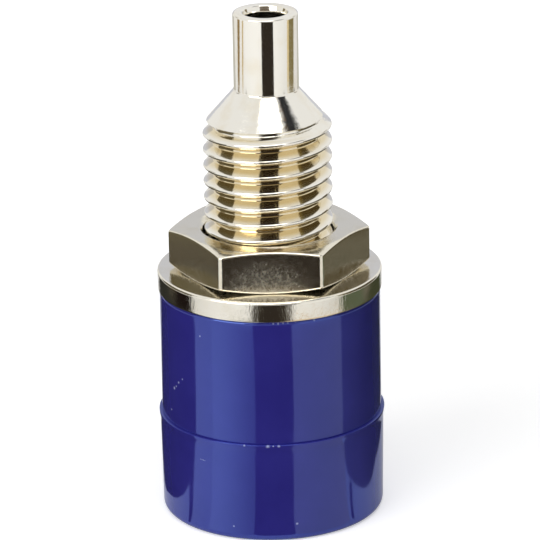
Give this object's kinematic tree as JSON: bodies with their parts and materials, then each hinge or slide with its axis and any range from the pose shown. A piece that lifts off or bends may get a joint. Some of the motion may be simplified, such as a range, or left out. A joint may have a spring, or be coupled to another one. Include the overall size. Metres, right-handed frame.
{
  "type": "banana socket",
  "caption": "Insulated panel socket for a banana plug: moulded cap and rear ring clamp a panel under a washer and thin hex nut on a threaded contact that ends in a solder tube.",
  "frame": {"origin": "centre of the front face of the cap, at the mouth of the plug entry", "axes": "+Z along the axis from the plug entry to the solder tube; -Y faces one flat of the nut at rest"},
  "size_m": [0.0104, 0.0104, 0.0236],
  "materials": {
    "plated_contact": "nickel plated, bright",
    "cap_plastic": "moulded, glossy",
    "ring_plastic": "moulded, glossy",
    "plated_washer": "nickel plated, bright",
    "plated_nut": "nickel plated, bright"
  },
  "bodies": {
    "socket": {"contact": "plated_contact", "front_cap": "cap_plastic"},
    "clamp_stack": {"rear_insulator": "ring_plastic", "washer": "plated_washer"},
    "nut": {"hex_nut": "plated_nut"}
  },
  "joints": [
    {"name": "clamp_slide", "type": "slide", "parent": "socket", "child": "clamp_stack", "axis": [0, 0, 1], "range_m": [0, 0.0045]},
    {"name": "nut_turn", "type": "hinge", "parent": "clamp_stack", "child": "nut", "pos_m": [0, 0, 0.01255], "axis": [0, 0, 1], "range_deg": [0, 2160]}
  ],
  "couplings": [
    {"joint": "nut_turn", "follows": "clamp_slide", "rad_per_m": 8377.6}
  ]
}
